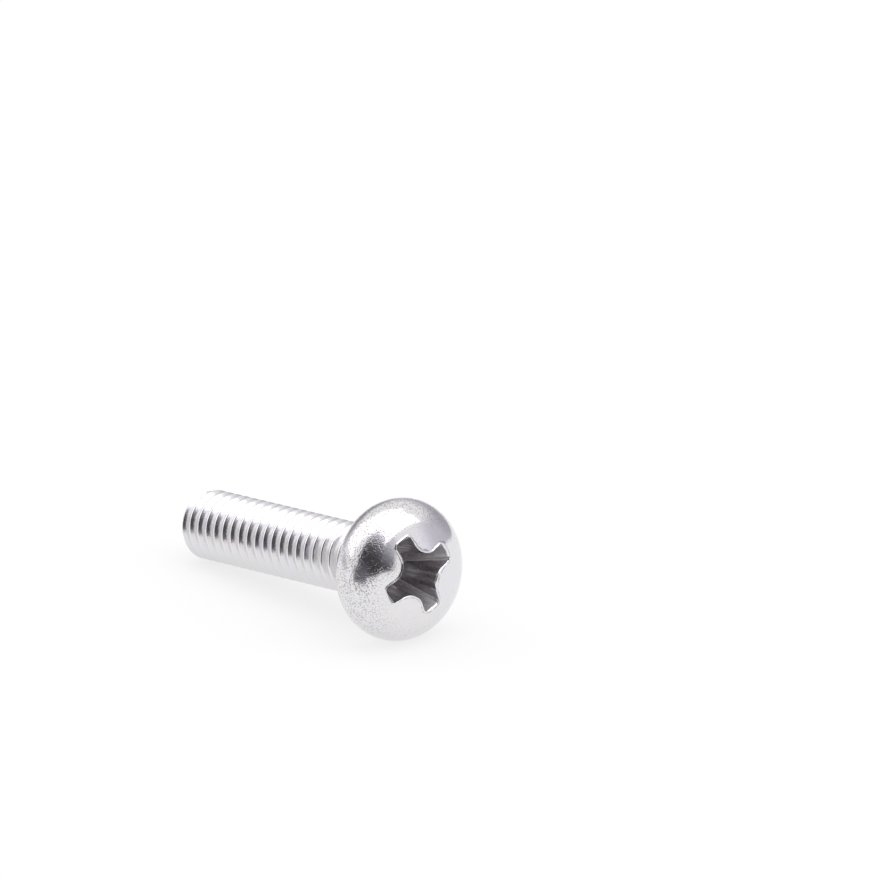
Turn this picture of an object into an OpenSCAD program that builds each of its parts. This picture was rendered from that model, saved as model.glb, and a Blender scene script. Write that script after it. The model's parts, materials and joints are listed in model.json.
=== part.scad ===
// Cross-recessed pan-head machine screw, cold-headed and thread-rolled, lying on a level surface.
// The screw's own axis is local Z: the bearing face is at z = 0, the shank runs to +Z, the head to -Z.
// In the lying pose the origin stays at the centre of the bearing face and the shank runs to +X.

/* [Thread] */
// Outer diameter over the thread crests
thread_d = 2.44; // [2:0.01:3]
// Distance between two thread crests
pitch = 0.45; // [0.4:0.01:0.6]
// Length from the bearing face to the end of the screw
length = 10; // [6:0.5:20]
// Length of the chamfer at the thread end
chamfer_len = 0.36; // [0.2:0.01:0.6]
// Depth of that chamfer below the thread crests
chamfer_depth = 0.24; // [0.1:0.01:0.4]

/* [Neck] */
// Depth of the bare neck below the thread crests
neck_depth = 0.12; // [0.05:0.01:0.2]
// Length of bare neck below the head
neck_len = 0.55; // [0.3:0.01:0.9]
// Length over which the thread rises from the neck to its full form
runout_len = 0.5; // [0.3:0.01:0.9]
// Radius of the fillet between the neck and the bearing face
fillet_r = 0.15; // [0.05:0.01:0.25]

/* [Head] */
// Largest diameter of the head
head_d = 4.92; // [4:0.01:6]
// Height of the head from the bearing face to the top of its crown
head_h = 2.03; // [1.6:0.01:2.6]
// How far the crown rises above the round side of the head
crown_rise = 0.22; // [0.1:0.01:0.5]
// How far the round side stands out past the rim of the bearing face
side_bulge = 0.26; // [0.1:0.01:0.4]

/* [Recess] */
// Span of the cross recess, wing tip to wing tip, where it meets the crown
recess_d = 2.8; // [2.3:0.01:3.2]
// Diameter of the round floor between the wings
floor_d = 1.27; // [1:0.01:1.5]
// Thickness of a wing at the floor
wing_t = 0.42; // [0.38:0.01:0.5]
// Slope of the wing ends from the axis, in degrees
wing_slope = 26.5; // [26:0.5:28]
// Slope of the ribs between the wings from the axis, in degrees
rib_slope = 7; // [5:0.5:8]
// Angle of a rib's edge between two wings, in degrees
rib_angle = 92; // [90:1:96]
// Radius of a rib's rounded edge
rib_r = 0.62; // [0.3:0.01:0.65]
// Cone angle of the floor, in degrees
floor_angle = 138; // [130:1:146]

/* [Lying pose] */
// Turn of one recess wing from straight up, about the axis that runs from the head to the thread end
recess_turn = -22; // [-45:0.5:45]

/* [Hidden] */
$fn = 96;

// Facets of the helical thread in one turn
thread_facets = 30;
// Spare reach of a cutting or limiting shape past the material it trims
spare = 0.1;

thread_r = thread_d / 2;
neck_r = thread_r - neck_depth;
tip_r = thread_r - chamfer_depth;

// Metric thread form: flanks at 60 degrees, a crest flat of an eighth of the pitch
flank_angle = 60;
form_h = pitch * sin(flank_angle);
thread_depth = 17 / 24 * form_h;
root_r = thread_r - thread_depth;
crest_w = pitch / 8;
flank_w = thread_depth * tan(flank_angle / 2);

// Where the thread begins to rise from the neck, and where its crests are whole again
runout_start = fillet_r + neck_len;
runout_end = runout_start + runout_len;
// The last whole crest stands at the foot of the end chamfer
last_crest_z = length - chamfer_len - crest_w / 2;

// Side of the head: an arc from the rim of the bearing face, over the largest diameter, to the crown
side_h = head_h - crown_rise;
side_r = side_h + side_bulge - sqrt(2 * side_h * side_bulge);
side_cr = head_d / 2 - side_r;
side_cz = side_r - side_h;
// Crown: the arc over the axis at head_h that runs smoothly into the side arc
crown_r = (pow(side_r + crown_rise, 2) + pow(side_cr, 2) - pow(side_r, 2)) / (2 * crown_rise);
crown_cz = crown_r - head_h;
// Height at which the crown arc and the side arc meet
meet_z = crown_cz + (side_cz - crown_cz) * crown_r / (crown_r - side_r);

// Recess depths along the axis
rim_z = crown_cz - sqrt(pow(crown_r, 2) - pow(recess_d / 2, 2));
floor_z = rim_z + (recess_d - floor_d) / 2 / tan(wing_slope);
floor_tip_z = floor_z + floor_d / 2 / tan(floor_angle / 2);
cut_top_z = -head_h - spare;
cut_top_r = recess_d / 2 + (rim_z - cut_top_z) * tan(wing_slope);
// Distance of a rib's sharp edge from the axis at the floor
rib_edge = wing_t / 2 / sin(45);

// Lying pose: the side of the head and the last whole crest both touch the surface
rest_run = last_crest_z - side_cz;
rest_rise = side_cr - thread_r;
rest_tilt = atan2(rest_rise, rest_run) + asin(side_r / norm([rest_run, rest_rise]));
// Local direction that faces the surface when the screw lies
down_angle = 0;

// Thread form over one pitch, as [step along the axis, radius], from the start of a crest
thread_form = [
    [-crest_w / 2, thread_r],
    [crest_w / 2, thread_r],
    [crest_w / 2 + flank_w, root_r],
    [pitch - crest_w / 2 - flank_w, root_r],
];

// Right-hand threaded rod with rough ends, its crest at z = crest_z in the direction crest_angle
module threaded_rod(z_from, z_to, crest_z, crest_angle) {
    n = thread_facets;
    m = len(thread_form);
    first = floor((z_from - crest_z) / pitch) - 1;
    turns = ceil((z_to - z_from) / pitch) + 2;
    rows = turns * m;
    function form_point(j, i) =
        let (form = thread_form[i % m], turn = 360 * j / n)
        let (z = crest_z + pitch * (first + floor(i / m) + turn / 360) + form[0])
        [form[1] * cos(crest_angle + turn), form[1] * sin(crest_angle + turn), z];
    // Column n repeats column 0 one pitch on, so column 0 adds only its first pitch of points
    function at(j, i) =
        j > 0 ? (j - 1) * (rows + 1) + i
        : i >= m ? at(n, i - m) : n * (rows + 1) + i;
    grid = [for (j = [1:n], i = [0:rows]) form_point(j, i)];
    seam = [for (i = [0:m - 1]) form_point(0, i)];
    low = n * (rows + 1) + m;
    high = low + 1;
    ends = [
        [0, 0, crest_z + pitch * first],
        [0, 0, crest_z + pitch * (first + turns + 1)],
    ];
    skin = [for (j = [0:n - 1], i = [0:rows - 1]) each [
        [at(j, i), at(j, i + 1), at(j + 1, i + 1)],
        [at(j, i), at(j + 1, i + 1), at(j + 1, i)],
    ]];
    low_loop = concat([for (j = [0:n]) at(j, 0)], [for (i = [m - 1:-1:1]) at(0, i)]);
    high_loop = concat([for (j = [0:n]) at(j, rows)], [for (i = [rows - 1:-1:rows - m + 1]) at(n, i)]);
    low_cap = [for (k = [0:len(low_loop) - 1]) [low, low_loop[k], low_loop[(k + 1) % len(low_loop)]]];
    high_cap = [for (k = [0:len(high_loop) - 1])
        [high, high_loop[(k + 1) % len(high_loop)], high_loop[k]]];
    polyhedron(points = concat(grid, seam, ends), faces = concat(skin, low_cap, high_cap));
}

// Room in which the thread may stand: it grows out of the neck and is cut off by the end chamfer
module thread_limit() {
    outer_r = thread_r + spare;
    rotate_extrude()
        polygon([
            [0, runout_start],
            [neck_r - spare, runout_start],
            [outer_r, runout_end],
            [outer_r, length - chamfer_len * (outer_r - tip_r) / chamfer_depth],
            [tip_r, length],
            [0, length],
        ]);
}

// Neck of the blank, which fades into the thread roots
module neck() {
    rotate_extrude()
        polygon([
            [0, -fillet_r],
            [neck_r, -fillet_r],
            [neck_r, runout_start + spare],
            [root_r - spare, runout_end + spare],
            [0, runout_end + spare],
        ]);
}

module shank() {
    intersection() {
        threaded_rod(runout_start, length, last_crest_z, down_angle);
        thread_limit();
    }
    neck();
}

// Fillet round the foot of the neck
module fillet() {
    rotate_extrude()
        difference() {
            translate([neck_r - spare, -spare])
                square([fillet_r + spare, fillet_r + spare]);
            translate([neck_r + fillet_r, fillet_r])
                circle(fillet_r);
        }
}

// Half section of the head: crown arc, side arc and flat bearing face
module head_section() {
    intersection() {
        translate([0, crown_cz])
            circle(crown_r);
        translate([0, -head_h - spare])
            square([head_d / 2, meet_z + head_h + spare]);
    }
    intersection() {
        translate([side_cr, side_cz])
            circle(side_r);
        translate([side_cr, meet_z])
            square([side_r + spare, -meet_z]);
    }
    translate([0, meet_z - spare])
        square([side_cr, spare - meet_z]);
}

// Rounded edge of one rib between two wings, opening away from the axis
module rib_section() {
    half = rib_angle / 2;
    reach = cut_top_r + spare;
    touch = rib_r / tan(half);
    polygon([
        touch * [cos(half), sin(half)],
        reach * [cos(half), sin(half)],
        reach * [cos(half), -sin(half)],
        touch * [cos(half), -sin(half)],
    ]);
    translate([rib_r / sin(half), 0])
        circle(rib_r);
}

module rib() {
    translate([rib_edge, 0, floor_z])
        rotate([0, -rib_slope, 0])
            linear_extrude(height = 2 * (floor_z - cut_top_z) + 2 * spare, center = true)
                rib_section();
}

// Shape of the punch that forms the cross recess
module recess() {
    difference() {
        rotate_extrude()
            polygon([
                [0, cut_top_z],
                [cut_top_r, cut_top_z],
                [floor_d / 2, floor_z],
                [0, floor_tip_z],
            ]);
        for (quarter = [0:3])
            rotate([0, 0, 45 + 90 * quarter])
                rib();
    }
}

module head() {
    difference() {
        rotate_extrude()
            head_section();
        recess();
    }
    fillet();
}

module screw() {
    color([0.78, 0.77, 0.78])
        rotate([0, 90 + rest_tilt, 0]) {
            shank();
            rotate([0, 0, recess_turn])
                head();
        }
}

screw();
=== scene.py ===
"""Pan-head machine screw with a cross recess, lying on a pale table.

The screw is modelled upright in millimetres, on its own axis: the bearing face is at z = 0, the shank
runs to +Z and the head to -Z. It is laid down and brought to metres when all of it is joined.
"""
import json
import math
from types import SimpleNamespace

import bmesh
import bpy
from mathutils import Matrix, Vector


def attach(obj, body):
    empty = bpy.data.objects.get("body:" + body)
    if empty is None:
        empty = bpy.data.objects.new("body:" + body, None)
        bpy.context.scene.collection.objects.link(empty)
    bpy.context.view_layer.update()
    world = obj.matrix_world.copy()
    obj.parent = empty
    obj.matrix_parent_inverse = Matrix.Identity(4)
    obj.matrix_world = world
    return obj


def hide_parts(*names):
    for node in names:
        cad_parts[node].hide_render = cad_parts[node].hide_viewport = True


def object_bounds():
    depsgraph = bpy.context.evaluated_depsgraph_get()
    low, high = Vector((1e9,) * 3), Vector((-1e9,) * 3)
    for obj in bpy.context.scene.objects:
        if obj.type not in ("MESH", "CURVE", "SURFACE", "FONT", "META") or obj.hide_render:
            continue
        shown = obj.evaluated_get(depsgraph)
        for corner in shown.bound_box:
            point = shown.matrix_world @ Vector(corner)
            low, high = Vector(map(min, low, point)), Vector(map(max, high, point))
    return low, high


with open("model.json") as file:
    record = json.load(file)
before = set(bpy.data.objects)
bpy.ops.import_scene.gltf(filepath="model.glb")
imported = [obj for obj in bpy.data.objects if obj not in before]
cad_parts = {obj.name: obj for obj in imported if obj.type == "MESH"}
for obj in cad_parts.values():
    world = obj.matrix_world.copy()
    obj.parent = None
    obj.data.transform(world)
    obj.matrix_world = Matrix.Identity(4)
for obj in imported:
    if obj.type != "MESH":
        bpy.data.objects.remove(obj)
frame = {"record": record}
CAD_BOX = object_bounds()
STEEL = frame["record"]["materials"][0]["base_color"]

bl_info = {
    "name": "Pan-head machine screw",
    "version": (1, 0, 0),
    "blender": (4, 5, 0),
    "location": "3D View > Sidebar > Screw",
    "description": "Models a cross-recessed pan-head machine screw and the table that it lies on",
    "category": "Add Mesh",
}

MM = 0.001  # one modelling unit, in metres
COLUMNS = 240  # vertices in each ring of the head
QUARTER = COLUMNS // 4
SEAM = 0.0002  # vertices nearer than this are one, in millimetres
SPARE = 0.1  # reach of a cut or a search past what it has to reach, in millimetres
BEND_STEPS = 4  # steps over a small rounding
THREAD_ANGLE = math.radians(60)  # between two flanks of a metric thread
SMOOTH_ANGLE = math.radians(38)  # edges up to this angle are shaded smooth


# ---------------------------------------------------------------- sizes

def length_prop(name, description, mm, low, high):
    """A length, kept in metres and written here in millimetres."""
    return bpy.props.FloatProperty(
        name=name, description=description, default=mm * MM, min=low * MM, max=high * MM,
        unit="LENGTH", subtype="DISTANCE", precision=5)


def angle_prop(name, description, degrees, low, high):
    """An angle, kept in radians and written here in degrees."""
    return bpy.props.FloatProperty(
        name=name, description=description, default=math.radians(degrees),
        min=math.radians(low), max=math.radians(high), subtype="ANGLE")


def factor_prop(name, description, value, high=1.0):
    """A plain number from 0."""
    return bpy.props.FloatProperty(
        name=name, description=description, default=value, min=0.0, max=high, subtype="FACTOR")


def colour_prop(name, description, colour):
    """A linear colour."""
    return bpy.props.FloatVectorProperty(
        name=name, description=description, default=tuple(colour), min=0.0, max=1.0, subtype="COLOR")


class ScrewSizes(bpy.types.PropertyGroup):
    """Sizes of the screw."""

    thread_d: length_prop("Thread diameter", "Outer diameter over the thread crests", 2.44, 2, 3)
    pitch: length_prop("Pitch", "Distance between two thread crests", 0.45, 0.4, 0.6)
    length: length_prop("Length", "From the bearing face to the end of the screw", 10, 6, 20)
    chamfer_len: length_prop("Chamfer length", "Length of the chamfer at the thread end", 0.36, 0.2, 0.6)
    chamfer_depth: length_prop("Chamfer depth", "Depth of that chamfer below the crests", 0.24, 0.1, 0.4)
    neck_depth: length_prop("Neck depth", "Depth of the bare neck below the crests", 0.12, 0.05, 0.2)
    neck_len: length_prop("Neck length", "Length of bare neck below the head", 0.55, 0.3, 0.9)
    runout_len: length_prop("Run-out", "Length over which the thread gets its full form", 0.5, 0.3, 0.9)
    fillet_r: length_prop("Fillet", "Radius of the fillet between neck and head", 0.15, 0.05, 0.25)
    head_d: length_prop("Head diameter", "Largest diameter of the head", 4.92, 4, 6)
    head_h: length_prop("Head height", "From the bearing face to the top of the crown", 2.03, 1.6, 2.6)
    crown_rise: length_prop("Crown rise", "How far the crown rises above the round side", 0.22, 0.1, 0.5)
    side_bulge: length_prop("Side bulge", "How far the side stands past the bearing face", 0.26, 0.1, 0.4)
    recess_d: length_prop("Recess span", "Wing tip to wing tip at the crown", 2.8, 2.3, 3.2)
    floor_d: length_prop("Recess floor", "Diameter of the round floor between the wings", 1.27, 1, 1.5)
    wing_t: length_prop("Wing thickness", "Thickness of a wing at the floor", 0.42, 0.38, 0.5)
    wing_slope: angle_prop("Wing slope", "Slope of the wing ends from the axis", 26.5, 26, 28)
    rib_slope: angle_prop("Rib slope", "Slope of the ribs between the wings", 7, 5, 8)
    rib_angle: angle_prop("Rib angle", "Angle of a rib's edge between two wings", 92, 90, 96)
    rib_r: length_prop("Rib radius", "Radius of a rib's rounded edge", 0.62, 0.3, 0.65)
    floor_angle: angle_prop("Floor angle", "Cone angle of the recess floor", 138, 130, 146)
    recess_turn: angle_prop("Recess turn", "Turn of a wing from straight up", -22, -45, 45)
    recess_aside: length_prop("Punch aside", "How far the punch struck beside the axis", 0.13, 0, 0.2)
    recess_above: length_prop("Punch above", "How far the punch struck above the axis", 0.05, 0, 0.2)
    corner_r: length_prop("Corner rounding", "Rounding in the corners of the wings", 0.07, 0.01, 0.08)
    corner_ridge: length_prop("Corner ridge", "Height of the ridge left in those corners", 0.04, 0, 0.05)
    lip_w: length_prop("Lip width", "Width of the rounded lip round the recess", 0.07, 0.02, 0.1)
    lip_h: length_prop("Lip height", "How far that lip was squeezed up", 0.02, 0, 0.05)
    rim_r: length_prop("Rim rounding", "Rounding at the rim of the bearing face", 0.05, 0.01, 0.1)
    crest_flat: length_prop("Crest width", "Width of the crests before they are rounded", 0.085, 0.05, 0.15)
    crest_r: length_prop("Crest rounding", "Length of flank that the rounded crest takes", 0.045, 0.01, 0.1)
    root_r: length_prop("Root rounding", "Length of flank that the rounded root takes", 0.13, 0.02, 0.2)


def in_millimetres(sizes):
    """The sizes in millimetres and radians, with the lengths that follow from them."""
    s = SimpleNamespace()
    for key in sizes.__annotations__:
        value = getattr(sizes, key)
        is_angle = key.endswith(("slope", "angle", "turn"))
        setattr(s, key, value if is_angle else round(value / MM, 5))
    s.thread_r = s.thread_d / 2
    s.neck_r = s.thread_r - s.neck_depth
    s.tip_r = s.thread_r - s.chamfer_depth
    s.thread_depth = 17 / 24 * s.pitch * math.sin(THREAD_ANGLE)
    s.core_r = s.thread_r - s.thread_depth
    s.crest_w = s.pitch / 8
    s.flank_w = s.thread_depth * math.tan(THREAD_ANGLE / 2)
    s.runout_start = s.fillet_r + s.neck_len
    s.last_crest_z = s.length - s.chamfer_len - s.crest_w / 2
    side_h = s.head_h - s.crown_rise
    s.side_r = side_h + s.side_bulge - math.sqrt(2 * side_h * s.side_bulge)
    s.side_cr = s.head_d / 2 - s.side_r
    s.side_cz = s.side_r - side_h
    s.crown_r = ((s.side_r + s.crown_rise) ** 2 + s.side_cr ** 2 - s.side_r ** 2) / (2 * s.crown_rise)
    s.crown_cz = s.crown_r - s.head_h
    s.meet_r = s.side_cr * s.crown_r / (s.crown_r - s.side_r)
    rim_z = s.crown_cz - math.sqrt(s.crown_r ** 2 - (s.recess_d / 2) ** 2)
    s.floor_r = s.floor_d / 2
    s.floor_z = rim_z + (s.recess_d / 2 - s.floor_r) / math.tan(s.wing_slope)
    s.rib_edge = s.wing_t / 2 / math.sin(math.radians(45))
    run, rise = s.last_crest_z - s.side_cz, s.side_cr - s.thread_r
    s.rest_tilt = math.atan2(rise, run) + math.asin(s.side_r / math.hypot(run, rise))
    return s


# ---------------------------------------------------------------- modelling by hand

def start_fresh():
    """Object mode with nothing selected."""
    if bpy.context.mode != "OBJECT":
        bpy.ops.object.mode_set(mode="OBJECT")
    bpy.ops.object.select_all(action="DESELECT")


def named(name):
    """Gives the new active object its name, in edit mode with vertices picked."""
    piece = bpy.context.active_object
    piece.name = piece.data.name = name
    bpy.ops.object.mode_set(mode="EDIT")
    bpy.ops.mesh.select_mode(type="VERT")
    return piece


def begin_ring(name, points):
    """A circle primitive with one vertex for each point, drawn out to the points."""
    start_fresh()
    bpy.ops.mesh.primitive_circle_add(vertices=len(points), radius=1, fill_type="NOTHING")
    piece = named(name)
    place_last(piece, points)
    return piece


def place_last(piece, points):
    """Moves the newest vertices of a piece in edit mode to the points."""
    mesh = bmesh.from_edit_mesh(piece.data)
    mesh.verts.ensure_lookup_table()
    first = len(mesh.verts) - len(points)
    for vert, point in zip(mesh.verts[first:], points):
        vert.co = point
    bmesh.update_edit_mesh(piece.data)


def next_ring(piece, points):
    """Extrudes the picked ring and draws the new one out to the points."""
    bpy.ops.mesh.extrude_edges_move()
    place_last(piece, points)


def draw_profile(name, points):
    """A chain of edges through the points, extruded vertex by vertex."""
    start_fresh()
    bpy.ops.mesh.primitive_plane_add(size=1)
    piece = named(name)
    bpy.ops.mesh.merge(type="CENTER")
    place_last(piece, points[:1])
    for here, there in zip(points, points[1:]):
        step = Vector(there) - Vector(here)
        bpy.ops.mesh.extrude_vertices_move(TRANSFORM_OT_translate={"value": step})
    return piece


def pick(piece, test, kind="FACE"):
    """Selects the faces, edges or vertices of a piece in edit mode that pass a test."""
    bpy.ops.mesh.select_mode(type=kind)
    bpy.ops.mesh.select_all(action="DESELECT")
    mesh = bmesh.from_edit_mesh(piece.data)
    parts = {"FACE": mesh.faces, "EDGE": mesh.edges, "VERT": mesh.verts}[kind]
    count = 0
    for part in parts:
        if test(part):
            part.select_set(True)
            count += 1
    bmesh.update_edit_mesh(piece.data)
    return count


def use_modifier(piece, kind, **settings):
    """Adds a modifier, sets it and applies it."""
    start_fresh()
    bpy.context.view_layer.objects.active = piece
    piece.select_set(True)
    modifier = piece.modifiers.new(kind.title(), kind)
    for key, value in settings.items():
        setattr(modifier, key, value)
    bpy.ops.object.modifier_apply(modifier=modifier.name)


def join_all(pieces, name):
    """One mesh of several, with their shared seams merged."""
    start_fresh()
    for piece in pieces:
        piece.select_set(True)
    bpy.context.view_layer.objects.active = pieces[0]
    bpy.ops.object.join()
    piece = named(name)
    bpy.ops.mesh.select_all(action="SELECT")
    bpy.ops.mesh.remove_doubles(threshold=SEAM)
    return piece


def arc(centre, radius, start, end, steps):
    """Points of a profile on an arc round a centre (distance from the axis, height)."""
    turns = [start + (end - start) * k / steps for k in range(steps + 1)]
    return [(centre[0] + radius * math.cos(a), 0, centre[1] + radius * math.sin(a)) for a in turns]


def rounded(before, corner, after, steps):
    """Points of a smooth bend from one point to another round a corner."""
    points = []
    for k in range(steps + 1):
        t = k / steps
        points.append(before * (1 - t) ** 2 + corner * 2 * t * (1 - t) + after * t ** 2)
    return points


def eased(t):
    """0 to 1 with a soft start and end."""
    t = min(max(t, 0.0), 1.0)
    return t * t * (3 - 2 * t)


# ---------------------------------------------------------------- recess

TIP_STEPS, FLANK_STEPS, NOSE_STEPS = 6, 12, 24  # half a wing end, a flank, and a rib's rounded edge
WALL_STEPS, FLOOR_STEPS, CROWN_STEPS = 8, 4, 12  # up the wall, in to the floor's point, out on the crown
BELOW_FLOOR = 0.3  # a height past the point of the floor
WALL_SAMPLE = 0.1  # step down the wall that gives its direction at the rim
LIP_STEPS = 5  # from the wall to the top of the lip, and from there to its foot
LIP_START, LIP_TOP = 0.6, 0.4  # how far down the wall it starts and how far out its top is, in widths
LIP_THIN, LIP_THICK = 0.8, 1.5  # its size on the side of +Y and on the side of -Y, as shares
LIP_WAVES = ((7, 1, 0.16), (19, 2, 0.12), (37, 0, 0.08))  # number round the rim, start and height
SHADE_AND_HIGHLIGHT_LINES = "lines"  # attribute that is 1 along the wings' corners, for a painted highlight, and along the lip's foot, for painted shade
ABOVE_FOOT = 0.7  # its value one row above that foot


def wall_point(s, column, z):
    """Where a column of the recess wall is at a height.

    From the middle of a wing end, the columns go over half that end, a flank and half a rib's rounded
    edge, and then over the other halves in mirror image, up to the next wing end.
    """
    quarter, k = divmod(column, QUARTER)
    mirrored = k > QUARTER / 2
    k = QUARTER - k if mirrored else k
    reach = s.floor_r + (s.floor_z - z) * math.tan(s.wing_slope)
    edge = s.rib_edge + (s.floor_z - z) * math.tan(s.rib_slope)
    half = s.rib_angle / 2
    stretch = 1 / math.cos(s.rib_slope)
    along = Vector((stretch * math.cos(half), -math.sin(half)))
    touch = Vector((edge, 0)) + along * (s.rib_r / math.tan(half))
    b, c = touch.dot(along), touch.length_squared - reach ** 2
    a = along.length_squared
    corner = touch + along * ((math.sqrt(b * b - a * c) - b) / a)
    first, last = TIP_STEPS - 1, TIP_STEPS + 2
    corner_turn = math.radians(45) + math.atan2(corner.y, corner.x)
    end_turn = corner_turn - s.corner_r / reach
    flank_start = corner + (touch - corner).normalized() * s.corner_r
    if k < last:
        turn = end_turn * min(k / first, 1) - math.radians(45)
        point = Vector((math.cos(turn), math.sin(turn))) * reach
        if k > first:
            point = rounded(point, corner, flank_start, last - first)[k - first]
            ridge = s.corner_ridge * math.sin(math.pi * (k - first) / (last - first))
            point -= point.normalized() * ridge
    elif k <= TIP_STEPS + FLANK_STEPS:
        point = flank_start.lerp(touch, (k - last) / (TIP_STEPS + FLANK_STEPS - last))
    else:
        share = 1 - (k - TIP_STEPS - FLANK_STEPS) / (NOSE_STEPS / 2)
        turn = math.pi + (math.pi / 2 - half) * share
        point = Vector((edge + stretch * (s.rib_r / math.sin(half) + s.rib_r * math.cos(turn)),
                        s.rib_r * math.sin(turn)))
    if mirrored:
        point.y = -point.y
    turn = math.radians(45 + 90 * quarter)
    return Vector((point.x * math.cos(turn) - point.y * math.sin(turn),
                   point.x * math.sin(turn) + point.y * math.cos(turn), z))


def punched(s, point):
    """A point of the recess as the punch struck it: turned about its own axis and moved off the screw's."""
    turned = Matrix.Rotation(s.recess_turn, 3, "Z") @ point
    return turned + Vector((-s.recess_above, s.recess_aside, 0))


def solve(test, low, high):
    """The height between two others at which a rising test passes zero."""
    for _ in range(40):
        middle = (low + high) / 2
        low, high = (middle, high) if test(middle) < 0 else (low, middle)
    return (low + high) / 2


def on_crown(s, x, y):
    """The crown's surface above a point."""
    return Vector((x, y, s.crown_cz - math.sqrt(s.crown_r ** 2 - x * x - y * y)))


def lip_bead(s, column, rim, up, away, outward):
    """Profile of the lip at one column: from the wall over the squeezed-up bead down to the crown."""
    turn = 2 * math.pi * column / COLUMNS
    ripple = 1 + sum(rise * math.sin(number * turn + start) for number, start, rise in LIP_WAVES)
    bearing = math.atan2(rim.y, rim.x) + math.pi / 2
    swell = LIP_THIN + (LIP_THICK - LIP_THIN) * (1 + math.cos(bearing)) / 2
    width, height = s.lip_w * swell * ripple, s.lip_h * swell * (2 - ripple)
    top = rim + away * (LIP_TOP * width) + outward * height
    points = rounded(rim - up * (LIP_START * s.lip_w), rim + outward * height, top, LIP_STEPS)
    edge = rim + away * width
    foot = on_crown(s, edge.x, edge.y)
    for k in range(1, LIP_STEPS + 1):
        share = k / LIP_STEPS
        points.append(top.lerp(foot, share) + outward * (height * (share - eased(share))))
    return points


def recess_rows(s):
    """Rings of points down the recess, the point of its floor, and rings over its lip and on the crown."""
    columns = range(COLUMNS)
    floor_fall = 1 / math.tan(s.floor_angle / 2)
    top = -s.head_h - SPARE

    def above_floor(column, z):
        point = wall_point(s, column, z)
        return z - s.floor_z - (s.floor_r - point.to_2d().length) * floor_fall

    def below_crown(column, z):
        point = punched(s, wall_point(s, column, z))
        return z - on_crown(s, point.x, point.y).z

    foot, rim = [], []
    for c in columns:
        low = solve(lambda z: above_floor(c, z), top, BELOW_FLOOR)
        high = solve(lambda z: below_crown(c, z), top, s.floor_z)
        foot.append(punched(s, wall_point(s, c, low)))
        rim.append(punched(s, wall_point(s, c, high)))
    beads = []
    for c in columns:
        up = (rim[c] - punched(s, wall_point(s, c, rim[c].z + WALL_SAMPLE))).normalized()
        outward = (rim[c] - Vector((0, 0, s.crown_cz))).normalized()
        along = rim[(c + 1) % COLUMNS] - rim[c - 1]
        away = along.cross(outward).normalized()
        if away.dot(Vector((along.y, -along.x, 0))) < 0:
            away.negate()
        beads.append(lip_bead(s, c, rim[c], up, away, outward))
    walls = [[foot[c].lerp(beads[c][0], k / WALL_STEPS) for c in columns] for k in range(WALL_STEPS + 1)]
    lips = [[bead[k] for bead in beads] for k in range(len(beads[0]))]
    after = lips[-1]
    shift = round(s.recess_turn / (2 * math.pi) * COLUMNS)
    crown = []
    for k in range(CROWN_STEPS + 1):
        share = k / CROWN_STEPS
        row = []
        for c in columns:
            start = math.atan2(after[c].y, after[c].x)
            end = 2 * math.pi * (c + shift) / COLUMNS
            swing = math.remainder(end - start, 2 * math.pi)
            turn = start + swing * eased(share)
            out = after[c].to_2d().length
            out += (s.meet_r - out) * share
            row.append(on_crown(s, out * math.cos(turn), out * math.sin(turn)))
        crown.append(row)
    apex = punched(s, Vector((0, 0, s.floor_z + s.floor_r * floor_fall)))
    floor = [[foot[c].lerp(apex, k / FLOOR_STEPS) for c in columns] for k in range(1, FLOOR_STEPS)]
    return walls[::-1] + floor, apex, lips, crown


def make_recess(rows, apex):
    """The punched cross recess, from the foot of its lip down to the point of its floor."""
    piece = begin_ring("recess", rows[0])
    bpy.ops.mesh.select_all(action="SELECT")
    for row in rows[1:]:
        next_ring(piece, row)
    bpy.ops.mesh.extrude_edges_move()
    bpy.ops.mesh.merge(type="CENTER")
    place_last(piece, [apex])
    # The corners of the wings get a painted highlight
    mark_painted_light(piece, lambda row, k: float(TIP_STEPS <= min(k, QUARTER - k) < TIP_STEPS + 2))
    return piece


def make_crown(lips, crown):
    """The lip over the recess's rim and the crown round it."""
    piece = begin_ring("crown", lips[0])
    bpy.ops.mesh.select_all(action="SELECT")
    for row in lips[1:] + crown[1:]:
        next_ring(piece, row)
    foot = len(lips) - 1
    # The foot of the lip, and less the row above it, gets painted shade
    mark_painted_light(piece, lambda row, k: {foot: 1.0, foot - 1: ABOVE_FOOT}.get(row, 0.0))
    return piece


def mark_painted_light(piece, value):
    """Writes the mask of painted highlight and painted shade on a piece drawn ring by ring: a value for
    each row and step in its quarter.
    """
    mesh = bmesh.from_edit_mesh(piece.data)
    mesh.verts.ensure_lookup_table()
    layer = mesh.verts.layers.float.new(SHADE_AND_HIGHLIGHT_LINES)
    for index, vert in enumerate(mesh.verts):
        vert[layer] = value(index // COLUMNS, index % QUARTER)
    bmesh.update_edit_mesh(piece.data)


SIDE_STEPS, FACE_STEPS, FILLET_STEPS = 40, 6, 8  # over the round side, the bearing face and the fillet
HEAD_NECK = 0.05  # length of neck past the fillet that is made with the head
BEARING_FACE_Z = -0.002  # what is past this height gets the finish of the bearing face


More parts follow.
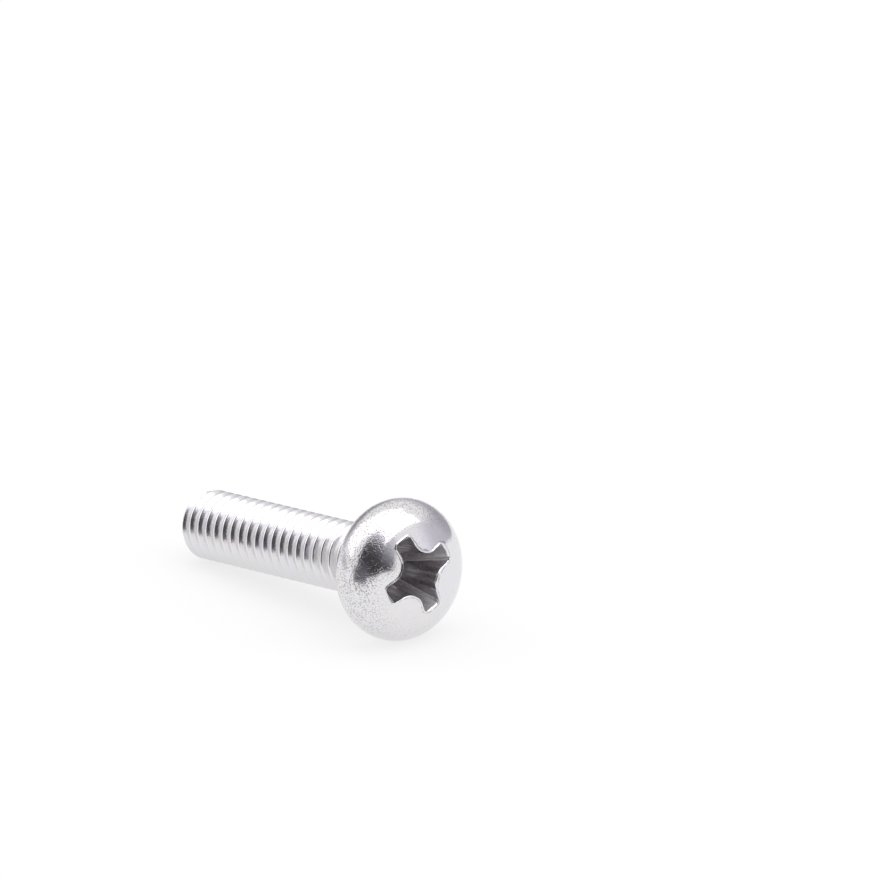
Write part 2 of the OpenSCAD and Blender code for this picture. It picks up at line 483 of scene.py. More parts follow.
def make_side(s):
    """The round side of the head, the bearing face and the fillet at the neck, spun from one profile."""
    centre = (s.side_cr, s.side_cz)
    meet = math.atan2(s.side_cz - s.crown_cz, s.side_cr)
    face = math.asin(-s.side_cz / s.side_r)
    rim = s.side_cr + s.side_r * math.cos(face)
    stop = face - s.rim_r / s.side_r
    profile = arc(centre, s.side_r, meet, stop, SIDE_STEPS)
    start, foot = rim - s.rim_r, s.neck_r + s.fillet_r
    bend = rounded(Vector(profile[-1]), Vector((rim, 0, 0)), Vector((start, 0, 0)), BEND_STEPS)
    profile += [tuple(point) for point in bend[1:]]
    profile += [(start + (foot - start) * k / FACE_STEPS, 0, 0) for k in range(1, FACE_STEPS)]
    profile += arc((foot, s.fillet_r), s.fillet_r, -math.pi / 2, -math.pi, FILLET_STEPS)
    profile.append((s.neck_r, 0, s.fillet_r + HEAD_NECK))
    piece = draw_profile("side", profile)
    bpy.ops.mesh.select_all(action="SELECT")
    bpy.ops.mesh.spin(steps=COLUMNS, angle=2 * math.pi, center=(0, 0, 0), axis=(0, 0, 1))
    bpy.ops.mesh.select_all(action="SELECT")
    bpy.ops.mesh.remove_doubles(threshold=SEAM)
    return piece


# ---------------------------------------------------------------- shank

THREAD_STEPS = 120  # facets of the thread in one turn
SHANK_FOOT = 0.08  # where the shank begins past the fillet; a bridge joins it to the head's neck
TIP_EDGE = ((0.02, 0.03), (0.0, 0.01), (-0.03, 0.0))  # its rounding: past the tip's radius, from the end


def thread_profile(s):
    """One pitch of the thread, from the middle of a crest to the next: (from the axis, 0, height)."""
    crest = Vector((s.thread_r, 0, s.crest_flat / 2))
    root = Vector((s.core_r, 0, s.crest_w / 2 + s.flank_w))
    flank = (root - crest).normalized()
    half = rounded(Vector((s.thread_r, 0, 0)), crest, crest + flank * s.crest_r, BEND_STEPS)
    half += rounded(root - flank * s.root_r, root, Vector((s.core_r, 0, s.pitch / 2)), BEND_STEPS)
    back = [Vector((p.x, 0, s.pitch - p.z)) for p in reversed(half[:-1])]
    return half + back


def make_shank(s):
    """The neck and the rolled thread, which is one pitch swept along its helix.

    The thread fades into the neck and is cut by the chamfer at its end.
    """
    turns = math.ceil((s.last_crest_z + s.pitch) / s.pitch) + 1
    start = s.last_crest_z + 2 * s.pitch - turns * s.pitch
    profile = [p + Vector((0, 0, start)) for p in thread_profile(s)]
    piece = draw_profile("shank", profile)
    use_modifier(
        piece, "SCREW", axis="Z", angle=2 * math.pi, screw_offset=s.pitch, iterations=turns,
        steps=THREAD_STEPS, render_steps=THREAD_STEPS, use_merge_vertices=False)
    piece = named("shank")
    bpy.ops.mesh.select_all(action="SELECT")
    bpy.ops.mesh.remove_doubles(threshold=SEAM)
    mesh = bmesh.from_edit_mesh(piece.data)
    for vert in mesh.verts:
        out = vert.co.to_2d()
        rise = eased((vert.co.z - s.runout_start) / s.runout_len)
        wanted = s.neck_r + (out.length - s.neck_r) * rise
        vert.co.xy = out * (wanted / out.length)
    bmesh.update_edit_mesh(piece.data)
    close_ends(piece)
    cut_to_length(s, piece)
    return piece


def close_ends(piece):
    """Closes both rough ends of the rod with a fan to a point on its axis."""
    bpy.ops.mesh.select_mode(type="EDGE")
    for side in (-1, 1):
        mesh = bmesh.from_edit_mesh(piece.data)
        middle = sum(v.co.z for v in mesh.verts) / len(mesh.verts)
        pick(piece, lambda e: e.is_boundary and (e.verts[0].co.z - middle) * side > 0, "EDGE")
        bpy.ops.mesh.extrude_edges_move()
        bpy.ops.mesh.merge(type="CENTER")
    bpy.ops.mesh.select_all(action="SELECT")
    bpy.ops.mesh.normals_make_consistent(inside=False)


def cut_to_length(s, piece):
    """Cuts the rod flat at the neck, and flat with a chamfer at the thread end."""
    wide, foot = s.thread_r + 2 * SPARE, s.fillet_r + SHANK_FOOT
    chamfer_z = s.length - s.chamfer_len * (wide - s.tip_r) / s.chamfer_depth
    profile = [(0, 0, foot), (wide, 0, foot), (wide, 0, chamfer_z)]
    profile += [(s.tip_r + out, 0, s.length - below) for out, below in TIP_EDGE]
    profile.append((0, 0, s.length))
    blank = draw_profile("blank", profile)
    bpy.ops.mesh.select_all(action="SELECT")
    bpy.ops.mesh.spin(steps=THREAD_STEPS, angle=2 * math.pi, center=(0, 0, 0), axis=(0, 0, 1))
    bpy.ops.mesh.select_all(action="SELECT")
    bpy.ops.mesh.remove_doubles(threshold=SEAM)
    bpy.ops.mesh.dissolve_limited(angle_limit=0.001)
    bpy.ops.mesh.normals_make_consistent(inside=False)
    bpy.ops.object.mode_set(mode="OBJECT")
    blank.rotation_euler.z = math.pi / THREAD_STEPS
    bpy.ops.object.transform_apply(location=False, rotation=True, scale=False)
    use_modifier(piece, "BOOLEAN", operation="INTERSECT", solver="EXACT", object=blank)
    bpy.data.objects.remove(blank)
    piece = named("shank")
    bpy.ops.mesh.select_all(action="SELECT")
    bpy.ops.mesh.remove_doubles(threshold=SEAM)
    pick(piece, lambda f: f.normal.z < -0.99 and f.calc_center_median().z < s.runout_start)  # its foot
    bpy.ops.mesh.delete(type="FACE")


# ---------------------------------------------------------------- whole screw

def make_screw(s, finishes):
    """Joins head and shank into one closed body and lays it down."""
    recess, apex, lips, crown = recess_rows(s)
    parts = [make_recess(recess, apex), make_crown(lips, crown), make_side(s)]
    for part, finish in zip(parts, ("recess", "head", "head")):
        part.data.materials.append(finishes[finish])
    side = parts[2]
    bpy.ops.object.mode_set(mode="OBJECT")
    side.data.materials.append(finishes["face"])
    bpy.context.view_layer.objects.active = side
    bpy.ops.object.mode_set(mode="EDIT")
    pick(side, lambda f: f.calc_center_median().z > BEARING_FACE_Z)
    side.active_material_index = 1
    bpy.ops.object.material_slot_assign()
    head = join_all(parts, "head")
    bpy.ops.object.mode_set(mode="OBJECT")
    shank = make_shank(s)
    bpy.ops.object.mode_set(mode="OBJECT")
    shank.data.materials.append(finishes["thread"])
    screw = join_all([head, shank], "finished_screw")
    pick(screw, lambda e: e.is_boundary, "EDGE")
    bpy.ops.mesh.bridge_edge_loops()
    bpy.ops.mesh.select_all(action="SELECT")
    bpy.ops.mesh.normals_make_consistent(inside=False)
    check_closed(screw)
    bpy.ops.object.mode_set(mode="OBJECT")
    screw.rotation_euler.y = math.pi / 2 + s.rest_tilt
    screw.scale = (MM, MM, MM)
    bpy.ops.object.transform_apply(location=True, rotation=True, scale=True)
    bpy.ops.object.shade_smooth_by_angle(angle=SMOOTH_ANGLE)
    return screw


def check_closed(piece):
    """Stops if the body isn't closed."""
    mesh = bmesh.from_edit_mesh(piece.data)
    loose = sum(not e.is_manifold for e in mesh.edges)
    if loose:
        raise RuntimeError(f"{loose} open or doubled edges")


# ---------------------------------------------------------------- finishes

class ScrewFinish(bpy.types.PropertyGroup):
    """Colours and surface of the steel, with the colours of its painted shade and painted highlight."""

    steel: colour_prop("Steel", "Colour of the bright steel", STEEL)
    cool: colour_prop("Cool tint", "The cooler tone in the steel", (0.76, 0.76, 0.82))
    warm: colour_prop("Warm tint", "The warmer tone in the steel", (0.82, 0.78, 0.79))
    # Darkens the pits and the streaks in the recess; also the colour of the painted shade at the foot of
    # the lip and in the middle of the recess
    pit: colour_prop("Pits", "Colour in the pits", (0.2, 0.17, 0.18))
    # Colour of the recess, a little darker than the head's steel: the darkening is painted shade in the
    # recess
    punched: colour_prop("Recess", "Colour of the steel that the punch left dull", (0.74, 0.725, 0.74))
    # Painted highlight: the bright colour given to the corners of the wings in the recess
    burnished: colour_prop("Corners", "Colour of the burnished corners in the recess", (0.95, 0.94, 0.95))
    pit_depth: length_prop("Pit depth", "Depth of the pits on the side of the head", 0.006, 0, 0.05)
    line_depth: length_prop("Line depth", "Depth of the drawn lines in the recess", 0.002, 0, 0.02)
    head_rough: factor_prop("Head roughness", "Roughness of the tumbled head", 0.07)
    recess_rough: factor_prop("Recess roughness", "Roughness of the punched recess", 0.3)
    face_rough: factor_prop("Face roughness", "Roughness of the bearing face", 0.3)
    thread_rough: factor_prop("Thread roughness", "Roughness of the rolled thread", 0.2)


def new_group(name, inputs, outputs):
    """An empty shader group with named sockets, and its input and output nodes."""
    tree = bpy.data.node_groups.new(name, "ShaderNodeTree")
    for socket, kind, value in inputs:
        made = tree.interface.new_socket(socket, in_out="INPUT", socket_type=f"NodeSocket{kind}")
        if value is not None:
            made.default_value = value
    for socket, kind in outputs:
        tree.interface.new_socket(socket, in_out="OUTPUT", socket_type=f"NodeSocket{kind}")
    return tree, tree.nodes.new("NodeGroupInput"), tree.nodes.new("NodeGroupOutput")


def add_node(tree, kind, links=None, **settings):
    """A node with its settings, and with its inputs linked or set."""
    node = tree.nodes.new(f"ShaderNode{kind}")
    for key, value in settings.items():
        setattr(node, key, value)
    for key, value in (links or {}).items():
        if isinstance(value, bpy.types.NodeSocket):
            tree.links.new(value, node.inputs[key])
        else:
            node.inputs[key].default_value = value
    return node


def maths(tree, operation, a, b):
    """The output of one sum."""
    return add_node(tree, "Math", {0: a, 1: b}, operation=operation).outputs[0]


def blend(tree, share, a, b):
    """The output of a mix of two colours."""
    return add_node(tree, "Mix", {0: share, 6: a, 7: b}, data_type="RGBA").outputs[2]


def ramp(tree, value, low, high, to_low=0.0, to_high=1.0, smooth=True):
    """A value brought from one range to another."""
    links = {"Value": value, "From Min": low, "From Max": high, "To Min": to_low, "To Max": to_high}
    kind = "SMOOTHSTEP" if smooth else "LINEAR"
    return add_node(tree, "MapRange", links, interpolation_type=kind, clamp=True).outputs["Result"]


def noise(tree, vector, scale, detail=3.0, roughness=0.5):
    """A noise texture."""
    return add_node(
        tree, "TexNoise", {"Vector": vector, "Scale": scale, "Detail": detail, "Roughness": roughness})


def use_group(tree, group, links):
    """A shader group placed in a material."""
    return add_node(tree, "Group", links, node_tree=group)


def from_axis(tree, place, middle=(0.0, 0.0, 0.0)):
    """How far a place is from the screw's axis, or from a line beside it."""
    flat = add_node(tree, "VectorMath", {0: place, 1: (1.0, 1.0, 0.0)}, operation="MULTIPLY").outputs[0]
    return add_node(tree, "VectorMath", {0: flat, 1: middle}, operation="DISTANCE").outputs["Value"]


# Ranges over which a surface changes, of distances in millimetres or of a noise's values
PIT_DRIFT = 0.06  # how far the pits are moved out of their even spread, in millimetres
PIT_RANGE = (0.1, 0.5)  # from the bottoms of the pits to their rims, in steps between neighbouring pits
PIT_SHARE = 0.7  # how deep the pits are against the grain of the skin
PATCH_RANGE = (0.35, 0.52)  # from smooth skin to pitted skin
TINT_RANGE, DRIFT_RANGE = (0.3, 0.7), (0.4, 0.75)  # from the cool tone to the warm, from steel to tone
SIDE_RANGE = (1.5, 2.3)  # from the head's smooth crown to its rough side, from the axis
WORN_WAY = (-0.75, 0.65, 0.0)  # towards the most worn part of the head: up, and to the side of +Y
WORN_RANGE = (-1.0, 1.5)  # from its least worn part to its most worn
LIP_SHADE_RANGE = (0.42, 0.58)  # noise values from the foot of the lip without its painted shade to the foot with it
LIP_SHADE_SIDES = (-0.6, 0.6)  # from the side with strong painted shade to the side with weak painted shade
MIDDLE_SHADE_RANGE = (0.6, 1.2)  # from the painted shade in the middle of the recess outwards
STREAK_RANGE = (0.35, 0.65)  # from its light streaks to its dark ones
LINE_RANGE, LINE_ROUGH = (0.3, 0.7), (-0.05, 0.08)  # from its brighter lines to its duller ones
# Roughness added by worn skin, by pits, by the corners of the recess and by the lines on the thread
WORN_ROUGH, PIT_ROUGH, CORNER_ROUGH, THREAD_ROUGH = 0.06, 0.1, 0.35, (-0.05, 0.1)


def pitted_skin():
    """Group: the rough, pitted skin that heading and tumbling leave, as a height and a mask of the pits."""
    tree, given, out = new_group(
        "pitted skin",
        [("Vector", "Vector", None), ("Pits per mm", "Float", 17.0), ("Amount", "Float", 1.0)],
        [("Height", "Float"), ("Pits", "Float")])
    vector, density, amount = given.outputs[:3]
    warp = noise(tree, vector, 9.0, detail=2.0)
    moved = add_node(
        tree, "VectorMath", {0: warp.outputs["Color"], 1: (PIT_DRIFT,) * 3, 2: vector},
        operation="MULTIPLY_ADD").outputs[0]
    cells = add_node(tree, "TexVoronoi", {"Vector": moved, "Scale": density, "Randomness": 1.0})
    pits = ramp(tree, cells.outputs["Distance"], *PIT_RANGE, to_low=1.0, to_high=0.0)
    where = ramp(tree, noise(tree, vector, 4.5, roughness=0.7).outputs["Fac"], *PATCH_RANGE)
    pits = maths(tree, "MULTIPLY", maths(tree, "MULTIPLY", pits, where), amount)
    grain = noise(tree, vector, 10.0, roughness=0.6)
    skin = maths(tree, "MULTIPLY", grain.outputs["Fac"], amount)
    height = maths(tree, "SUBTRACT", skin, maths(tree, "MULTIPLY", pits, PIT_SHARE))
    tree.links.new(height, out.inputs["Height"])
    tree.links.new(pits, out.inputs["Pits"])
    return tree


def drawn_lines():
    """Group: fine lines along one direction, which a punch or a rolling die leaves."""
    tree, given, out = new_group(
        "drawn lines",
        [("Vector", "Vector", None), ("Lines per mm", "Float", 20.0),
         ("Stretch", "Vector", (1.0, 1.0, 0.05))],
        [("Height", "Float")])
    vector, density, stretch = given.outputs[:3]
    squeezed = add_node(tree, "VectorMath", {0: vector, 1: stretch}, operation="MULTIPLY").outputs[0]
    lines = noise(tree, squeezed, density, roughness=0.6)
    tree.links.new(lines.outputs["Fac"], out.inputs["Height"])
    return tree


def steel_tone():
    """Group: the slow drift of the steel's colour between a cool and a warm tone."""
    tree, given, out = new_group(
        "steel tone",
        [("Vector", "Vector", None), ("Steel", "Color", (0.78, 0.77, 0.78, 1)),
         ("Cool", "Color", (0.7, 0.7, 0.8, 1)), ("Warm", "Color", (0.8, 0.7, 0.7, 1))],
        [("Color", "Color")])
    vector, steel, cool, warm = given.outputs[:4]
    slow, fast = noise(tree, vector, 0.5), noise(tree, vector, 2.3)
    tint = blend(tree, ramp(tree, slow.outputs["Fac"], *TINT_RANGE), cool, warm)
    mixed = blend(tree, ramp(tree, fast.outputs["Fac"], *DRIFT_RANGE), steel, tint)
    tree.links.new(mixed, out.inputs["Color"])
    return tree


def new_material(name, s):
    """A material with its shader, and the screw's own coordinates in millimetres along its axis."""
    material = bpy.data.materials.new(name)
    material.use_nodes = True
    tree = material.node_tree
    shader = tree.nodes["Principled BSDF"]
    shader.inputs["Metallic"].default_value = 1.0
    place = tree.nodes.new("ShaderNodeTexCoord")
    lying = (0.0, math.pi / 2 + s.rest_tilt, 0.0)
    mapping = add_node(
        tree, "Mapping", {"Vector": place.outputs["Object"], "Rotation": lying, "Scale": (MM, MM, MM)},
        vector_type="TEXTURE")
    return material, tree, shader, mapping.outputs["Vector"]


def set_surface(tree, shader, colour, roughness, height, distance):
    """Links the colour, roughness and height of a surface to its shader."""
    tree.links.new(colour, shader.inputs["Base Color"])
    tree.links.new(roughness, shader.inputs["Roughness"])
    bump = add_node(tree, "Bump", {"Height": height, "Distance": distance, "Strength": 1.0})
    tree.links.new(bump.outputs["Normal"], shader.inputs["Normal"])


def tumbled_head(s, look, skin, tone, colours):
    """The bright head, with a pitted skin towards its side and painted shade, broken up by noise, in the
    groove at the foot of the lip.
    """
    material, tree, shader, place = new_material("tumbled_head_steel", s)
    rough = ramp(tree, from_axis(tree, place), *SIDE_RANGE, to_low=0.22)
    worn = add_node(tree, "VectorMath", {0: place, 1: WORN_WAY}, operation="DOT_PRODUCT").outputs["Value"]
    rough = maths(tree, "MULTIPLY", rough, ramp(tree, worn, *WORN_RANGE, to_low=0.3))
    pits = use_group(tree, skin, {"Vector": place, "Pits per mm": 17.0, "Amount": rough})
    steel = use_group(tree, tone, {"Vector": place, **colours}).outputs["Color"]
    spotted = blend(tree, pits.outputs["Pits"], steel, (*look.pit, 1))
    # Painted shade: a dark line where the foot of the lip meets the crown, broken up by noise and stronger
    # on the side of -Y
    shade_noise = noise(tree, place, 6.0, roughness=0.7)
    aside = add_node(tree, "SeparateXYZ", {"Vector": place}).outputs["Y"]
    foot = add_node(tree, "Attribute", attribute_name=SHADE_AND_HIGHLIGHT_LINES).outputs["Fac"]
    foot = maths(tree, "MULTIPLY", foot, ramp(tree, shade_noise.outputs["Fac"], *LIP_SHADE_RANGE))
    foot = maths(tree, "MULTIPLY", foot, ramp(tree, aside, *LIP_SHADE_SIDES, to_low=0.95, to_high=0.45))
    spotted = blend(tree, foot, spotted, (*look.pit, 1))
    roughness = maths(tree, "ADD", look.head_rough, maths(tree, "MULTIPLY", rough, WORN_ROUGH))
    set_surface(tree, shader, spotted, roughness, pits.outputs["Height"], look.pit_depth)
    return material


def punched_recess(s, look, lines):
    """The duller recess, with painted shade towards its middle, drawn walls and a painted highlight along
    the corners of its wings.
    """
    material, tree, shader, place = new_material("punched_recess_steel", s)
    drawn = use_group(tree, lines, {"Vector": place, "Lines per mm": 14.0, "Stretch": (1.0, 1.0, 0.06)})
    drawn = drawn.outputs["Height"]
    outwards = from_axis(tree, place, (-s.recess_above, s.recess_aside, 0.0))
    # Painted shade: the recess is darkened towards its middle
    middle_shade = ramp(tree, outwards, *MIDDLE_SHADE_RANGE, to_low=0.22, to_high=0.0)
    streaks = ramp(tree, drawn, *STREAK_RANGE, to_high=0.35, smooth=False)
    colour = blend(tree, maths(tree, "ADD", streaks, middle_shade), (*look.punched, 1), (*look.pit, 1))
    # Painted highlight: the corners of the wings are brightened
    corner = add_node(tree, "Attribute", attribute_name=SHADE_AND_HIGHLIGHT_LINES).outputs["Fac"]
    colour = blend(tree, corner, colour, (*look.burnished, 1))
    roughness = ramp(tree, drawn, *LINE_RANGE, *(look.recess_rough + step for step in LINE_ROUGH))
    roughness = maths(tree, "ADD", roughness, maths(tree, "MULTIPLY", corner, CORNER_ROUGH))
    set_surface(tree, shader, colour, roughness, drawn, look.line_depth)
    return material


def flat_bearing_face(s, look, skin, tone, colours):
    """The duller bearing face, with the neck's fillet."""
    material, tree, shader, place = new_material("bearing_face_steel", s)
    steel = use_group(tree, tone, {"Vector": place, **colours}).outputs["Color"]
    pits = use_group(tree, skin, {"Vector": place, "Pits per mm": 18.0, "Amount": 0.5})
    roughness = maths(tree, "MULTIPLY", pits.outputs["Pits"], PIT_ROUGH)
    roughness = maths(tree, "ADD", look.face_rough, roughness)
    set_surface(tree, shader, steel, roughness, pits.outputs["Height"], look.pit_depth / 2)
    return material


def rolled_thread(s, look, lines, tone, colours):
    """The thread, with fine lines round it."""
    material, tree, shader, place = new_material("rolled_thread_steel", s)
    steel = use_group(tree, tone, {"Vector": place, **colours}).outputs["Color"]
    drawn = use_group(tree, lines, {"Vector": place, "Lines per mm": 9.0, "Stretch": (0.5, 0.5, 1.6)})
    drawn = drawn.outputs["Height"]
    least, spread = THREAD_ROUGH
    roughness = maths(tree, "ADD", look.thread_rough + least, maths(tree, "MULTIPLY", drawn, spread))
    set_surface(tree, shader, steel, roughness, drawn, look.line_depth * 2)
    return material


def make_finishes(s, look):
    """The four finishes of the steel."""
    skin, lines, tone = pitted_skin(), drawn_lines(), steel_tone()
    colours = {"Steel": (*look.steel, 1), "Cool": (*look.cool, 1), "Warm": (*look.warm, 1)}
    return {
        "head": tumbled_head(s, look, skin, tone, colours),
        "recess": punched_recess(s, look, lines),
        "face": flat_bearing_face(s, look, skin, tone, colours),
        "thread": rolled_thread(s, look, lines, tone, colours),
    }


# ---------------------------------------------------------------- stage

class StageLook(bpy.types.PropertyGroup):
    """The table, the light and the camera."""

    white: factor_prop("White level", "Brightness of the white surround", 0.95, 3)
    lamps: factor_prop("Lamps", "Brightness of the softboxes", 1.1, 3)
    lens: bpy.props.FloatProperty(
        name="Lens", description="Focal length of the camera, in millimetres", default=580.55, min=50,
        max=2000)


CAMERA_PLACE = Vector((-0.350986, 0.287264, 0.166385))
CAMERA_BACK = Vector((-0.72640876, 0.59945896, 0.33612389))
CAMERA_SHIFT = 0.0013  # brings the head to its height in the photograph
FLOOR_SHADE = 0.2  # its own colour, which shows the light and the shadow on it
FLOOR_GLOW = 0.735  # what brings it up to white
FAR = 0.62  # distance of the cards round the screw, in metres
CARD_TINT = (1.0, 0.98, 1.08)  # the cards are a little lavender
SURROUND = (0.95, 0.95, 0.95, 1)  # what a card fades into
CARDS = {  # name: settings of make_card
    "camera_side": dict(
        azimuth=148, elevation=30, width=1.38, height=0.9, slant=1.0, cut=((0.0, 0.55), (0.28, 0.95)),
        shades=((0, 0.2), (0.2, 0.16), (0.42, 0.05), (0.52, 0.07), (0.58, 0.2), (0.63, 0.4), (0.69, 0.68),
                (0.79, 0.95))),
    "low_flag": dict(
        azimuth=112, elevation=2, width=0.016, height=0.009, distance=0.02, shades=((0, 0.14), (1, 0.14))),
    "left_wall": dict(
        azimuth=38, elevation=5, width=0.355, height=0.174, melt=0.5,
        shades=((0, 0.7), (0.3, 0.5), (0.8, 0.5), (1, 0.85))),
    "back_side": dict(
        azimuth=272, elevation=18, width=1.6, height=0.5, melt=0.45,
        shades=((0, 0.95), (0.2, 0.64), (0.35, 0.52), (0.54, 0.44), (0.75, 0.48), (0.9, 0.55), (1, 0.62))),
    "far_side": dict(
        azimuth=350, elevation=16, width=0.716, height=0.356, melt=0.5,
        shades=((0, 0.6), (0.1, 0.48), (0.25, 0.32), (0.5, 0.28), (0.62, 0.4), (0.8, 0.66), (1, 0.9))),
}
LAMP_SIZE, LAMP_DISTANCE = 0.5, 0.6  # in metres
LAMPS = {  # name: azimuth, elevation, share of the lamps' brightness
    "right_softbox": (205, 50, 1.0),
    "left_softbox": (42, 43, 0.55),
    "top_softbox": (320, 88, 1.0),
}


def direction(azimuth, elevation):
    """A direction from the screw, in degrees: counter-clockwise from +X, and up from the table."""
    a, e = math.radians(azimuth), math.radians(elevation)
    return Vector((math.cos(e) * math.cos(a), math.cos(e) * math.sin(a), math.sin(e)))


def facing(way):
    """A turn that points local -Z at the screw from the given direction, with local Y up."""
    return way.to_track_quat("Z", "Y").to_euler()


def make_card(name, azimuth, elevation, width, height, shades, slant=0.0, melt=1.0, distance=FAR,
              cut=None):
    """A card beside the screw, which only its reflections show.

    The shades are (place across the card, brightness) pairs, and lean to the left by the slant. From
    the height `melt`, a share of the card's own, it fades into the surround towards its top. A cut takes
    off the corner left of and above a line that rises to the right, given by two points as shares of the
    card's width and height.
    """
    start_fresh()
    way = direction(azimuth, elevation)
    bpy.ops.mesh.primitive_plane_add(size=1)
    card = named(name)
    if cut:
        (x, y), (far_x, far_y) = cut
        bpy.ops.mesh.select_all(action="SELECT")
        bpy.ops.mesh.bisect(
            plane_co=(x - 0.5, y - 0.5, 0), plane_no=(y - far_y, far_x - x, 0), clear_outer=True)
    bpy.ops.object.mode_set(mode="OBJECT")
    card.scale = (width, height, 1)
    card.rotation_euler = facing(way)
    card.location = way * distance
    bpy.ops.object.transform_apply(location=True, rotation=True, scale=True)
    material = bpy.data.materials.new(name)
    material.use_nodes = True
    tree = material.node_tree
    tree.nodes.remove(tree.nodes["Principled BSDF"])
    coordinates = tree.nodes.new("ShaderNodeTexCoord")
    place = add_node(tree, "SeparateXYZ", {"Vector": coordinates.outputs["UV"]})
    across = maths(tree, "ADD", place.outputs["X"], maths(tree, "MULTIPLY", place.outputs["Y"], slant))
    shade = add_node(tree, "ValToRGB", {"Fac": maths(tree, "DIVIDE", across, 1.0 + slant)})
    shade.color_ramp.interpolation = "EASE"
    stops = shade.color_ramp.elements
    stops[0].position, stops[1].position = shades[0][0], shades[-1][0]
    for position, _level in shades[1:-1]:
        stops.new(position)
    for stop, (_position, level) in zip(stops, shades):
        stop.color = (*(level * part for part in CARD_TINT), 1)
    colour = blend(tree, ramp(tree, place.outputs["Y"], melt, 1.0), shade.outputs["Color"], SURROUND)
    glow = add_node(tree, "Emission", {"Color": colour, "Strength": 1.0})
    tree.links.new(glow.outputs[0], tree.nodes["Material Output"].inputs["Surface"])
    card.data.materials.append(material)
    card.visible_camera = card.visible_diffuse = card.visible_shadow = False
    card.visible_transmission = card.visible_volume_scatter = False


def make_lamp(name, azimuth, elevation, radiance):
    """A square soft lamp that shines on the screw from a direction."""
    start_fresh()
    way = direction(azimuth, elevation)
    bpy.ops.object.light_add(type="AREA", location=way * LAMP_DISTANCE, rotation=facing(way))
    lamp = bpy.context.active_object
    lamp.name = lamp.data.name = name
    lamp.data.shape = "SQUARE"
    lamp.data.size = LAMP_SIZE
    lamp.data.energy = radiance * math.pi * LAMP_SIZE * LAMP_SIZE
    lamp.visible_camera = False


def make_floor():
    """A pale floor that the screw rests on."""
    start_fresh()
    bpy.ops.mesh.primitive_plane_add(size=4, location=(0, 0, CAD_BOX[0].z))
    floor = bpy.context.active_object
    floor.name = floor.data.name = "floor"
    bpy.ops.object.transform_apply(location=True, rotation=True, scale=True)
    material = bpy.data.materials.new("pale_floor")
    material.use_nodes = True
    tree = material.node_tree
    shader = tree.nodes["Principled BSDF"]
    shader.inputs["Base Color"].default_value = (FLOOR_SHADE, FLOOR_SHADE, FLOOR_SHADE, 1)
    shader.inputs["Roughness"].default_value = 0.9
    shader.inputs["Specular IOR Level"].default_value = 0.0
    rays = tree.nodes.new("ShaderNodeLightPath")
    seen = maths(tree, "MAXIMUM", rays.outputs["Is Camera Ray"], rays.outputs["Is Glossy Ray"])
    seen = maths(tree, "MAXIMUM", seen, rays.outputs["Is Transmission Ray"])
    shader.inputs["Emission Color"].default_value = (1, 1, 1, 1)
    tree.links.new(maths(tree, "MULTIPLY", seen, FLOOR_GLOW), shader.inputs["Emission Strength"])
    floor.data.materials.append(material)


def make_surround(white):
    """A white surround."""
    world = bpy.data.worlds.new("white_surround")
    bpy.context.scene.world = world
    world.use_nodes = True
    tree = world.node_tree
    background = tree.nodes["Background"]
    background.inputs["Color"].default_value = (1, 1, 1, 1)
    rays = tree.nodes.new("ShaderNodeLightPath")
    strength = add_node(
        tree, "Mix", {"Factor": rays.outputs["Is Camera Ray"], "A": white, "B": 1.0}, data_type="FLOAT")
    tree.links.new(strength.outputs["Result"], background.inputs["Strength"])


def make_camera(lens):
    """The camera at the photograph's viewing angle."""
    start_fresh()
    right = Vector((0, 0, 1)).cross(CAMERA_BACK).normalized()
    up = CAMERA_BACK.cross(right).normalized()
    turn = Matrix((right, up, CAMERA_BACK.normalized())).transposed()
    bpy.ops.object.camera_add(location=CAMERA_PLACE, rotation=turn.to_euler())
    camera = bpy.context.active_object
    camera.name = camera.data.name = "camera"
    camera.data.lens = lens
    camera.data.sensor_width = 36
    camera.data.shift_y = CAMERA_SHIFT
    camera.data.clip_start = 0.01
    camera.data.clip_end = 20
    bpy.context.scene.camera = camera


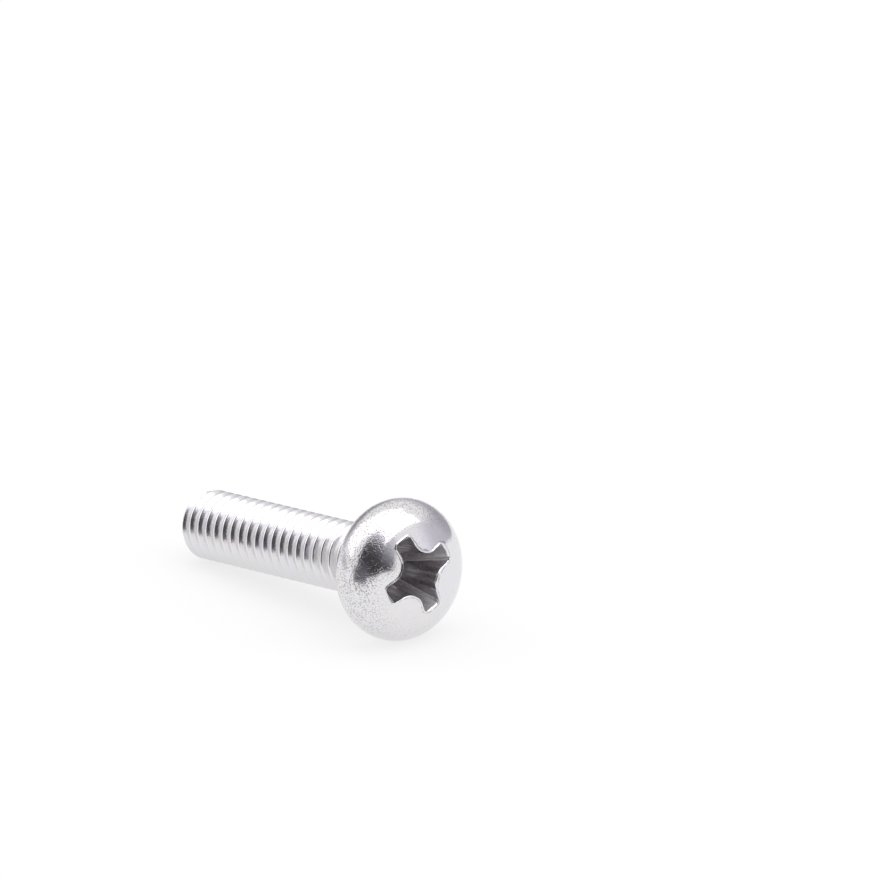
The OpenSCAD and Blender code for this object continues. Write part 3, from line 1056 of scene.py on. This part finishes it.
# ---------------------------------------------------------------- operators and panel

class SCREW_OT_make_screw(bpy.types.Operator):
    """Make the finished screw, lying as it comes to rest"""

    bl_idname = "screw.make_screw"
    bl_label = "Make screw"

    def execute(self, context):
        s = in_millimetres(context.scene.screw_sizes)
        screw = make_screw(s, make_finishes(s, context.scene.screw_finish))
        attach(screw, "root")
        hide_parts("screw")
        return {"FINISHED"}


class SCREW_OT_make_stage(bpy.types.Operator):
    """Make the table, the light and the camera"""

    bl_idname = "screw.make_stage"
    bl_label = "Make stage"

    def execute(self, context):
        look = context.scene.screw_stage
        context.scene.view_settings.view_transform = "Standard"
        make_floor()
        make_surround(look.white)
        for name, settings in CARDS.items():
            make_card(name, **settings)
        for name, (azimuth, elevation, share) in LAMPS.items():
            make_lamp(name, azimuth, elevation, share * look.lamps)
        make_camera(look.lens)
        return {"FINISHED"}


class SCREW_PT_panel(bpy.types.Panel):
    """Buttons for the screw and its stage"""

    bl_idname = "SCREW_PT_panel"
    bl_label = "Machine screw"
    bl_space_type = "VIEW_3D"
    bl_region_type = "UI"
    bl_category = "Screw"

    def draw(self, context):
        for operator in (SCREW_OT_make_screw, SCREW_OT_make_stage):
            self.layout.operator(operator.bl_idname)
        for group in GROUPS:
            settings = getattr(context.scene, group)
            box = self.layout.box()
            for key in settings.__annotations__:
                box.prop(settings, key)


GROUPS = {"screw_sizes": ScrewSizes, "screw_finish": ScrewFinish, "screw_stage": StageLook}
CLASSES = (*GROUPS.values(), SCREW_OT_make_screw, SCREW_OT_make_stage, SCREW_PT_panel)


def register():
    for cls in CLASSES:
        bpy.utils.register_class(cls)
    for name, group in GROUPS.items():
        setattr(bpy.types.Scene, name, bpy.props.PointerProperty(type=group))


def unregister():
    for name in GROUPS:
        delattr(bpy.types.Scene, name)
    for cls in reversed(CLASSES):
        bpy.utils.unregister_class(cls)


def main():
    """Makes everything."""
    register()
    bpy.ops.screw.make_screw()
    bpy.ops.screw.make_stage()


if __name__ == "__main__":
    main()
